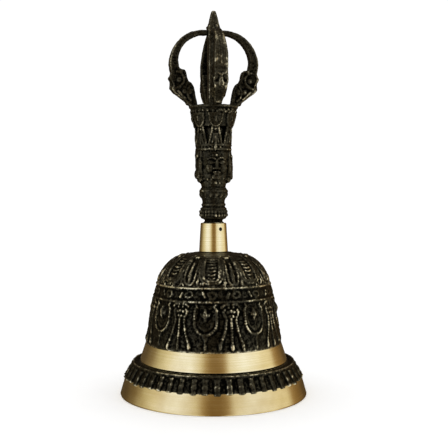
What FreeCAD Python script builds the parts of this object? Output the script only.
"""A hand bell of the Himalayan kind: a cast bell on a half-thunderbolt handle, with a swinging clapper.

Row frame, in millimetres: +Z up the handle, origin on the bell's axis in the plane of its rim.
The carved head on the handle faces -Y, and the four outer prongs stand on the X and Y axes.
"""

import FreeCAD
import Part
import Sketcher
import math
import os

# Driving dimensions: name, value in millimetres (degrees where the name ends in _turn).
SIZES = [
    # bell, from the rim up; each radius is of the outer face
    ("lip_radius", 47.4),
    ("rim_wall", 3.3),
    ("rim_bevel", 0.7),
    ("lip_height", 9.4),
    ("lip_top_radius", 44.9),
    ("fence_height", 7.6),
    ("fence_top_radius", 40.6),
    ("fence_proud", 0.4),
    ("groove_depth", 1.5),
    ("groove_radius", 38.6),
    ("band_rise", 0.6),
    ("band_bottom_radius", 37.5),
    ("band_height", 8.5),
    ("band_top_radius", 34.6),
    ("skirt_proud", 0.5),
    ("skirt_height", 23.7),
    ("waist_radius", 31.2),
    ("shoulder_height", 6.4),
    ("shoulder_radius", 29.5),
    ("dome_height", 15.8),
    ("dome_arc", 19.0),
    ("crown_radius", 12.8),
    ("body_wall", 3.1),
    ("flare_wall", 3.5),
    ("crown_wall", 4.5),
    ("inner_crown_radius", 11.0),
    ("inner_dome_arc", 17.0),
    ("boss_radius", 4.8),
    ("boss_height", 4.0),
    # collar between bell and handle
    ("ferrule_bottom_wall", 2.6),
    ("ferrule_top_wall", 1.8),
    ("ferrule_length", 14.7),
    ("ferrule_bevel", 0.35),
    ("fit_clearance", 0.05),
    ("pin_radius", 0.8),
    ("pin_drop", 3.0),
    ("pin_recess", 0.25),
    ("pin_turn", 22.0),
    # handle casting, from the collar up
    ("neck_shoulder", 0.5),
    ("neck_height", 2.3),
    ("ring_radius", 7.6),
    ("ring_height", 6.6),
    ("ring_flat", 2.6),
    ("ring_edge_radius", 6.2),
    ("waisted_height", 3.6),
    ("waisted_radius", 6.0),
    ("knop_radius", 7.3),
    ("knop_height", 5.6),
    ("throat_radius", 6.5),
    ("throat_height", 3.2),
    ("jaw_height", 3.0),
    ("head_radius", 8.6),
    ("head_height", 22.8),
    ("cup_foot_radius", 9.6),
    ("cup_radius", 12.6),
    ("cup_height", 12.8),
    ("ear_reach", 9.9),
    ("ear_width", 4.2),
    ("ear_height", 21.0),
    ("ear_bevel", 1.2),
    # outer prongs: heights are above the top of the cup, depths are in from the cage's radius
    ("cage_radius", 22.9),
    ("prong_width", 7.0),
    ("prong_foot_width", 4.2),
    ("prong_tip_width", 4.0),
    ("prong_taper_height", 8.0),
    ("foot_inset", 0.1),
    ("foot_thickness", 4.3),
    ("brow_step", 2.3),
    ("brow_height", 19.2),
    ("snout_depth", 11.9),
    ("snout_height", 11.6),
    ("jowl_depth", 1.5),
    ("jowl_height", 7.2),
    ("cheek_depth", 13.5),
    ("cheek_height", 6.0),
    ("arc_foot_height", 20.8),
    ("arc_top_height", 39.4),
    ("bar_thickness", 4.7),
    ("bar_tip_thickness", 2.6),
    ("outer_arc", 17.9),
    ("inner_arc", 16.2),
    # middle prong
    ("spike_width", 6.0),
    ("collar_width", 7.0),
    ("collar_height", 6.2),
    ("spike_shoulder", 1.2),
    ("tip_height", 9.0),
    ("tip_width", 2.6),
    ("tip_round", 1.0),
    # hanger pin with its eye
    ("hanger_radius", 2.0),
    ("hanger_clearance", 0.15),
    ("washer_thickness", 0.8),
    ("washer_room", 0.6),
    ("head_pin_radius", 3.4),
    ("head_pin_height", 1.6),
    ("head_room", 0.8),
    ("hanger_drop", 2.0),
    ("hanger_ring_radius", 4.6),
    ("hanger_wire_radius", 1.5),
    # clapper
    ("clapper_ring_radius", 3.7),
    ("clapper_wire_radius", 1.4),
    ("ring_slack", 0.1),
    ("rod_radius", 2.2),
    ("tenon_radius", 1.6),
    ("striker_radius", 7.6),
    ("striker_top_radius", 3.2),
    ("striker_bottom_radius", 4.0),
    ("striker_height", 17.0),
    ("striker_belly", 7.5),
    ("striker_upper_arc", 9.6),
    ("striker_lower_arc", 8.2),
    ("burr_radius", 3.4),
    ("burr_thickness", 0.8),
    ("rivet_radius", 2.7),
    ("rivet_height", 1.2),
    ("floor_clearance", 4.0),
]


class Size:
    """A length as its number and as the sheet expression that gives the number."""

    def __init__(self, value, text):
        self.value = value
        self.text = text

    def __add__(self, other):
        other = as_size(other)
        return Size(self.value + other.value, f"({self.text} + {other.text})")

    def __sub__(self, other):
        other = as_size(other)
        return Size(self.value - other.value, f"({self.text} - {other.text})")

    def __mul__(self, factor):
        return Size(self.value * factor, f"({self.text} * {factor})")

    def __neg__(self):
        return self * -1


def as_size(number):
    """A plain number as a Size; a Size stays as it is."""
    return number if isinstance(number, Size) else Size(float(number), repr(float(number)))


doc = FreeCAD.newDocument("HandBell")
sheet = doc.addObject("Spreadsheet::Sheet", "Sizes")
for row, (alias, number) in enumerate(SIZES, start=1):
    sheet.set(f"A{row}", alias)
    sheet.set(f"B{row}", str(number))
    sheet.setAlias(f"B{row}", alias)
doc.recompute()
cell = {alias: Size(float(getattr(sheet, alias)), f"Sizes.{alias}") for alias, _ in SIZES}

NOTHING = as_size(0)
CUT_MARGIN = as_size(1)


# ---------------------------------------------------------------- helpers for sketches and features


def new_body(label):
    """An empty body that becomes one sub-part."""
    body = doc.addObject("PartDesign::Body", label)
    body.Label = label
    return body


def new_sketch(body, name, role, turn=0.0, height=None):
    """A sketch on one of the body's own origin planes, turned about the row's Z or raised along it."""
    sketch = body.newObject("Sketcher::SketchObject", name)
    plane = next(f for f in body.Origin.OriginFeatures if f.Role == role)
    sketch.AttachmentSupport = [(plane, "")]
    sketch.MapMode = "FlatFace"
    if turn:
        sketch.AttachmentOffset = FreeCAD.Placement(
            FreeCAD.Vector(), FreeCAD.Rotation(FreeCAD.Vector(0, 1, 0), turn)
        )
    if height is not None:
        sketch.setExpression("AttachmentOffset.Base.z", height.text)
    return sketch


def pin_down(sketch, shape, end, across, up):
    """Ties one end of a sketch line or arc to a place given by two sizes."""
    if across is NOTHING:
        sketch.addConstraint(Sketcher.Constraint("PointOnObject", shape, end, -2))
    else:
        x = sketch.addConstraint(Sketcher.Constraint("DistanceX", -1, 1, shape, end, across.value))
        sketch.setExpression(f"Constraints[{x}]", across.text)
    if up is NOTHING:
        sketch.addConstraint(Sketcher.Constraint("PointOnObject", shape, end, -1))
    else:
        y = sketch.addConstraint(Sketcher.Constraint("DistanceY", -1, 1, shape, end, up.value))
        sketch.setExpression(f"Constraints[{y}]", up.text)


def arc_middle(start, end, radius, side):
    """The middle of the short arc between two points, bulging left of travel for side 1, right for -1."""
    chord = end.sub(start)
    half = chord.Length / 2
    height = radius - math.sqrt(radius * radius - half * half)
    left = FreeCAD.Vector(-chord.y, chord.x, 0).normalize()
    return start.add(chord * 0.5).add(left * (height * side))


def outline(sketch, corners):
    """Draws a closed outline of corners (across, up), or (across, up, radius, side) where an arc leads on."""
    count = len(corners)
    points = [FreeCAD.Vector(c[0].value, c[1].value, 0) for c in corners]
    ends = []
    for i, corner in enumerate(corners):
        start, end = points[i], points[(i + 1) % count]
        if len(corner) == 2:
            shape = sketch.addGeometry(Part.LineSegment(start, end), False)
            ends.append((shape, 1, 2))
            continue
        radius, side = corner[2], corner[3]
        middle = arc_middle(start, end, radius.value, side)
        shape = sketch.addGeometry(Part.Arc(start, middle, end), False)
        # an arc runs anticlockwise, so its own start is the end of travel when it bulges to the left
        ends.append((shape, 2, 1) if side > 0 else (shape, 1, 2))
    for i, (shape, _, last) in enumerate(ends):
        following, first, _ = ends[(i + 1) % count]
        sketch.addConstraint(Sketcher.Constraint("Coincident", shape, last, following, first))
    for (shape, first, _), corner in zip(ends, corners):
        pin_down(sketch, shape, first, corner[0], corner[1])
        if len(corner) == 4:
            bend = sketch.addConstraint(Sketcher.Constraint("Radius", shape, corner[2].value))
            sketch.setExpression(f"Constraints[{bend}]", corner[2].text)
    return sketch


def circle(sketch, radius, across=NOTHING, up=NOTHING):
    """A circle in a sketch with a bound radius and centre."""
    centre = FreeCAD.Vector(across.value, up.value, 0)
    ring = Part.Circle(centre, FreeCAD.Vector(0, 0, 1), radius.value)
    shape = sketch.addGeometry(ring, False)
    bound = sketch.addConstraint(Sketcher.Constraint("Radius", shape, radius.value))
    sketch.setExpression(f"Constraints[{bound}]", radius.text)
    pin_down(sketch, shape, 3, across, up)
    return sketch


def turned(body, corners):
    """A solid turned about the row's Z from an outline of radii and heights."""
    sketch = outline(new_sketch(body, body.Label + "_section", "XZ_Plane"), corners)
    turn = body.newObject("PartDesign::Revolution", body.Label + "_turned")
    turn.Profile = sketch
    turn.ReferenceAxis = (sketch, ["V_Axis"])
    turn.Angle = 360
    sketch.Visibility = False
    return turn


def pad(body, sketch, length, both_ways=False):
    """A pad of a sketch, one way or half each way."""
    feature = body.newObject("PartDesign::Pad", sketch.Label + "_pad")
    feature.Profile = sketch
    feature.SideType = "Symmetric" if both_ways else "One side"
    feature.setExpression("Length", length.text)
    return feature


def cut_through(body, sketch):
    """A pocket of a sketch right through the body, both ways."""
    feature = body.newObject("PartDesign::Pocket", sketch.Label + "_cut")
    feature.Profile = sketch
    feature.SideType = "Symmetric"
    feature.Type = "ThroughAll"
    return feature


def flat_ring(label, outer, inner, bottom, thickness):
    """A washer: a flat ring standing on the height given."""
    body = new_body(label)
    sketch = new_sketch(body, label + "_section", "XY_Plane", height=bottom)
    circle(sketch, outer)
    circle(sketch, inner)
    pad(body, sketch, thickness)
    return body


def cylinder(name, radius, bottom, height):
    """A Part cylinder on the row's Z axis."""
    solid = doc.addObject("Part::Cylinder", name)
    solid.setExpression("Radius", radius.text)
    solid.setExpression("Height", height.text)
    solid.setExpression("Placement.Base.z", bottom.text)
    return solid


def eye_ring(name, ring_radius, wire_radius, centre, axis):
    """A round eye of bent rod standing upright, its hole along the axis given."""
    solid = doc.addObject("Part::Torus", name)
    solid.setExpression("Radius1", ring_radius.text)
    solid.setExpression("Radius2", wire_radius.text)
    upright = FreeCAD.Rotation(FreeCAD.Vector(0, 0, 1), axis)
    solid.Placement = FreeCAD.Placement(FreeCAD.Vector(), upright)
    solid.setExpression("Placement.Base.z", centre.text)
    return solid


def fused(label, pieces):
    """Several Part solids forged into one."""
    whole = doc.addObject("Part::MultiFuse", label)
    whole.Label = label
    whole.Shapes = pieces
    return whole


# ---------------------------------------------------------------- levels that several pieces share

fence_top = cell["lip_height"] + cell["fence_height"]
band_bottom = fence_top + cell["band_rise"]
band_top = band_bottom + cell["band_height"]
waist = band_top + cell["skirt_height"]
shoulder = waist + cell["shoulder_height"]
crown = shoulder + cell["dome_height"]
crown_inside = crown - cell["crown_wall"]
boss_top = crown + cell["boss_height"]
ferrule_top = crown + cell["ferrule_length"]
washer_top = boss_top + cell["washer_thickness"]
hanger_top = washer_top + cell["head_pin_height"]
tang_bottom = hanger_top + cell["head_room"]
pin_height = ferrule_top - cell["pin_drop"]
tang_radius = cell["boss_radius"] - cell["fit_clearance"]
neck_radius = cell["boss_radius"] + cell["neck_shoulder"]
ferrule_bottom_radius = cell["boss_radius"] + cell["ferrule_bottom_wall"]
ferrule_top_radius = cell["boss_radius"] + cell["ferrule_top_wall"]

ring_bottom = ferrule_top + cell["neck_height"]
ring_top = ring_bottom + cell["ring_height"]
knop_bottom = ring_top + cell["waisted_height"]
knop_top = knop_bottom + cell["knop_height"]
jaw_bottom = knop_top + cell["throat_height"]
head_bottom = jaw_bottom + cell["jaw_height"]
head_top = head_bottom + cell["head_height"]
cup_top = head_top + cell["cup_height"]

hanger_eye_centre = (
    crown_inside - cell["hanger_drop"] - cell["hanger_wire_radius"] - cell["hanger_ring_radius"]
)
pivot = hanger_eye_centre - cell["hanger_ring_radius"]
clapper_ring_drop = (
    cell["clapper_ring_radius"]
    - cell["clapper_wire_radius"]
    - cell["hanger_wire_radius"]
    - cell["ring_slack"]
)
clapper_ring_centre = pivot - clapper_ring_drop
rivet_bottom = cell["floor_clearance"]
burr_bottom = rivet_bottom + cell["rivet_height"]
striker_bottom = burr_bottom + cell["burr_thickness"]
striker_top = striker_bottom + cell["striker_height"]


# ---------------------------------------------------------------- bell


def make_bell():
    """The cast bell, open below: rim, fenced ring, turned band, skirt, crown and the boss on top."""
    body = new_body("bell_shell")
    inner_rim = cell["lip_radius"] - cell["rim_wall"]
    inner_lip = cell["lip_top_radius"] - cell["flare_wall"]
    inner_band = cell["band_bottom_radius"] - cell["flare_wall"]
    inner_skirt = cell["band_top_radius"] - cell["body_wall"]
    inner_shoulder = cell["shoulder_radius"] - cell["body_wall"]
    hole = cell["hanger_radius"] + cell["hanger_clearance"]
    turned(
        body,
        [
            (inner_rim, NOTHING),
            (cell["lip_radius"] - cell["rim_bevel"], NOTHING),
            (cell["lip_radius"], cell["rim_bevel"]),
            (cell["lip_top_radius"], cell["lip_height"]),
            (cell["lip_top_radius"] + cell["fence_proud"], cell["lip_height"]),
            (cell["fence_top_radius"], fence_top),
            (cell["groove_radius"], fence_top - cell["groove_depth"]),
            (cell["band_bottom_radius"], band_bottom),
            (cell["band_top_radius"], band_top),
            (cell["band_top_radius"] + cell["skirt_proud"], band_top),
            (cell["waist_radius"], waist),
            (cell["shoulder_radius"], shoulder, cell["dome_arc"], -1),
            (cell["crown_radius"], crown),
            (cell["boss_radius"], crown),
            (cell["boss_radius"], boss_top),
            (hole, boss_top),
            (hole, crown_inside),
            (cell["inner_crown_radius"], crown_inside, cell["inner_dome_arc"], 1),
            (inner_shoulder, shoulder),
            (inner_skirt, band_top),
            (inner_band, band_bottom),
            (inner_lip, cell["lip_height"]),
        ],
    )
    return body


def make_ferrule():
    """The turned collar over the boss and the tang, drilled across for the pin."""
    body = new_body("ferrule")
    bevel = cell["ferrule_bevel"]
    turned(
        body,
        [
            (cell["boss_radius"], crown),
            (ferrule_bottom_radius - bevel, crown),
            (ferrule_bottom_radius, crown + bevel),
            (ferrule_top_radius, ferrule_top - bevel),
            (ferrule_top_radius - bevel, ferrule_top),
            (cell["boss_radius"], ferrule_top),
        ],
    )
    hole = new_sketch(body, "ferrule_pin_hole", "XZ_Plane", turn=cell["pin_turn"].value)
    cut_through(body, circle(hole, cell["pin_radius"], up=pin_height))
    return body


def make_pin():
    """The pin driven across the collar and the tang, its ends a little below the collar's face."""
    body = new_body("cross_pin")
    section = new_sketch(body, "cross_pin_section", "XZ_Plane", turn=cell["pin_turn"].value)
    circle(section, cell["pin_radius"], up=pin_height)
    pad(body, section, (ferrule_top_radius - cell["pin_recess"]) * 2, both_ways=True)
    return body


# ---------------------------------------------------------------- handle


def make_handle():
    """The handle casting: tang, neck, ring, knop, carved head with its side locks, and the prongs' cup."""
    body = new_body("handle_grip")
    edge = cell["ring_edge_radius"]
    ring_middle = ring_bottom + cell["ring_height"] * 0.5
    turned(
        body,
        [
            (NOTHING, tang_bottom),
            (tang_radius, tang_bottom),
            (tang_radius, ferrule_top),
            (neck_radius, ferrule_top),
            (neck_radius, ring_bottom),
            (edge, ring_bottom),
            (cell["ring_radius"], ring_middle - cell["ring_flat"] * 0.5),
            (cell["ring_radius"], ring_middle + cell["ring_flat"] * 0.5),
            (edge, ring_top),
            (cell["waisted_radius"], ring_top + cell["waisted_height"] * 0.5),
            (cell["throat_radius"], knop_bottom),
            (cell["knop_radius"], knop_bottom + cell["knop_height"] * 0.5),
            (cell["throat_radius"], knop_top),
            (cell["throat_radius"], jaw_bottom),
            (cell["head_radius"], head_bottom),
            (cell["head_radius"], head_top),
            (cell["cup_foot_radius"], head_top),
            (cell["cup_radius"], cup_top),
            (NOTHING, cup_top),
        ],
    )
    locks = new_sketch(body, "side_locks", "XY_Plane", height=head_bottom)
    reach = cell["ear_reach"]
    half = cell["ear_width"] * 0.5
    bevel = cell["ear_bevel"]
    outline(
        locks,
        [
            (-reach, -half + bevel),
            (-reach + bevel, -half),
            (reach - bevel, -half),
            (reach, -half + bevel),
            (reach, half - bevel),
            (reach - bevel, half),
            (-reach + bevel, half),
            (-reach, half - bevel),
        ],
    )
    pad(body, locks, cell["ear_height"])
    hole = new_sketch(body, "tang_pin_hole", "XZ_Plane", turn=cell["pin_turn"].value)
    cut_through(body, circle(hole, cell["pin_radius"], up=pin_height))
    return body


def make_spike():
    """The middle prong: a square bar, the collar that the outer prongs are brazed to, and the bare tip."""
    body = new_body("central_prong")
    collar_half = cell["collar_width"] * 0.5
    collar_top = cup_top + cell["arc_top_height"] + cell["spike_shoulder"]
    levels = [
        ("shaft", cell["spike_width"] * 0.5, cup_top, collar_top - cell["collar_height"]),
        ("collar", collar_half, collar_top - cell["collar_height"], collar_top),
    ]
    for name, half, low, high in levels:
        sketch = new_sketch(body, "spike_" + name, "XY_Plane", height=low)
        square(sketch, half)
        pad(body, sketch, high - low)
    base = new_sketch(body, "tip_base", "XY_Plane", height=collar_top)
    square(base, collar_half)
    point = new_sketch(body, "tip_point", "XY_Plane", height=collar_top + cell["tip_height"])
    square(point, cell["tip_width"] * 0.5)
    tip = body.newObject("PartDesign::AdditiveLoft", "tip")
    tip.Profile = base
    tip.Sections = [point]
    doc.recompute()
    rounding = body.newObject("PartDesign::Fillet", "tip_rounding")
    top = collar_top.value + cell["tip_height"].value
    edges = [
        f"Edge{i}"
        for i, edge in enumerate(tip.Shape.Edges, start=1)
        if all(abs(v.Z - top) < 1e-6 for v in edge.Vertexes)
    ]
    rounding.Base = (tip, edges)
    widest = cell["tip_width"] * 0.45
    rounding.setExpression("Radius", f"min({cell['tip_round'].text}; {widest.text})")
    return body


def square(sketch, half):
    """A square about the sketch's origin."""
    return outline(sketch, [(-half, -half), (half, -half), (half, half), (-half, half)])


def make_outer_prong(label, turn):
    """One outer prong: a beast's head rising from the cup, and a bar that arches in to the spike's collar."""
    body = new_body(label)
    collar_half = cell["collar_width"] * 0.5
    bar_inner = cell["cage_radius"] - cell["bar_thickness"]
    foot_outer = cell["cup_radius"] - cell["foot_inset"]
    tip_top = cup_top + cell["arc_top_height"]
    side = new_sketch(body, label + "_side", "XZ_Plane")
    outline(
        side,
        [
            (foot_outer - cell["foot_thickness"], cup_top),
            (foot_outer, cup_top),
            (cell["cage_radius"] - cell["jowl_depth"], cup_top + cell["jowl_height"]),
            (cell["cage_radius"], cup_top + cell["snout_height"]),
            (cell["cage_radius"], cup_top + cell["arc_foot_height"], cell["outer_arc"], -1),
            (collar_half, tip_top),
            (collar_half, tip_top - cell["bar_tip_thickness"], cell["inner_arc"], 1),
            (bar_inner, cup_top + cell["arc_foot_height"]),
            (bar_inner - cell["brow_step"], cup_top + cell["brow_height"]),
            (cell["cage_radius"] - cell["snout_depth"], cup_top + cell["snout_height"]),
            (cell["cage_radius"] - cell["cheek_depth"], cup_top + cell["cheek_height"]),
        ],
    )
    pad(body, side, cell["prong_width"], both_ways=True)
    tapers = new_sketch(body, label + "_tapers", "YZ_Plane")
    half = cell["prong_width"] * 0.5
    foot_half = cell["prong_foot_width"] * 0.5
    tip_half = cell["prong_tip_width"] * 0.5
    taper_top = cup_top + cell["prong_taper_height"]
    arc_foot = cup_top + cell["arc_foot_height"]
    for hand in (-1, 1):
        outside = (half + CUT_MARGIN) * hand
        outline(
            tapers,
            [
                (foot_half * hand, cup_top),
                (outside, cup_top),
                (outside, taper_top),
                (half * hand, taper_top),
            ],
        )
        outline(
            tapers,
            [
                (half * hand, arc_foot),
                (outside, arc_foot),
                (outside, tip_top + CUT_MARGIN),
                (tip_half * hand, tip_top + CUT_MARGIN),
                (tip_half * hand, tip_top),
            ],
        )
    cut_through(body, tapers)
    body.Placement = FreeCAD.Placement(
        FreeCAD.Vector(), FreeCAD.Rotation(FreeCAD.Vector(0, 0, 1), turn)
    )
    return body


# ---------------------------------------------------------------- hanger and clapper


def make_hanger():
    """The loose pin that hangs in the crown by its head and ends in an eye inside the bell."""
    shank_bottom = hanger_eye_centre + cell["hanger_ring_radius"]
    return fused(
        "hanger_eye",
        [
            cylinder("hanger_head", cell["head_pin_radius"], washer_top, cell["head_pin_height"]),
            cylinder("hanger_shank", cell["hanger_radius"], shank_bottom, washer_top - shank_bottom),
            eye_ring(
                "hanger_ring",
                cell["hanger_ring_radius"],
                cell["hanger_wire_radius"],
                hanger_eye_centre,
                FreeCAD.Vector(0, 1, 0),
            ),
        ],
    )


def make_clapper_shank():
    """The clapper's rod: a ring at the top, and a tenon riveted over below the striker."""
    rod_top = clapper_ring_centre - cell["clapper_ring_radius"]
    return fused(
        "clapper_shank",
        [
            eye_ring(
                "clapper_ring",
                cell["clapper_ring_radius"],
                cell["clapper_wire_radius"],
                clapper_ring_centre,
                FreeCAD.Vector(1, 0, 0),
            ),
            cylinder("clapper_rod", cell["rod_radius"], striker_top, rod_top - striker_top),
            cylinder("clapper_tenon", cell["tenon_radius"], rivet_bottom, striker_top - rivet_bottom),
            cylinder("clapper_rivet", cell["rivet_radius"], rivet_bottom, cell["rivet_height"]),
        ],
    )


def make_striker():
    """The pear-shaped striker, bored for the tenon."""
    body = new_body("clapper_striker")
    bore = cell["tenon_radius"] + cell["fit_clearance"]
    belly = striker_bottom + cell["striker_belly"]
    turned(
        body,
        [
            (bore, striker_bottom),
            (cell["striker_bottom_radius"], striker_bottom, cell["striker_lower_arc"], -1),
            (cell["striker_radius"], belly, cell["striker_upper_arc"], -1),
            (cell["striker_top_radius"], striker_top),
            (bore, striker_top),
        ],
    )
    return body


subparts = [
    make_bell(),
    make_ferrule(),
    make_pin(),
    make_handle(),
    make_spike(),
    flat_ring(
        "hanger_washer",
        cell["boss_radius"] - cell["washer_room"],
        cell["hanger_radius"] + cell["hanger_clearance"],
        boss_top,
        cell["washer_thickness"],
    ),
    make_hanger(),
    make_clapper_shank(),
    make_striker(),
    flat_ring(
        "striker_burr",
        cell["burr_radius"],
        cell["tenon_radius"] + cell["fit_clearance"],
        burr_bottom,
        cell["burr_thickness"],
    ),
]
for place, quarter in (("right", 0), ("back", 90), ("left", 180), ("front", 270)):
    subparts.append(make_outer_prong("outer_prong_" + place, quarter))

doc.recompute()
failed = [o.Label for o in doc.Objects if {"Invalid", "Error"} & set(o.State)]
if failed:
    raise RuntimeError(f"these objects did not build: {failed}")
os.makedirs("parts", exist_ok=True)
for part in subparts:
    shape = part.Shape
    if shape.isNull() or not shape.isValid() or len(shape.Solids) != 1:
        raise RuntimeError(f"{part.Label} is not one sound solid")
    shape.exportStep(f"parts/{part.Label}.step")
    print(f"{part.Label}: {shape.Volume:.1f} mm3, solids {len(shape.Solids)}")
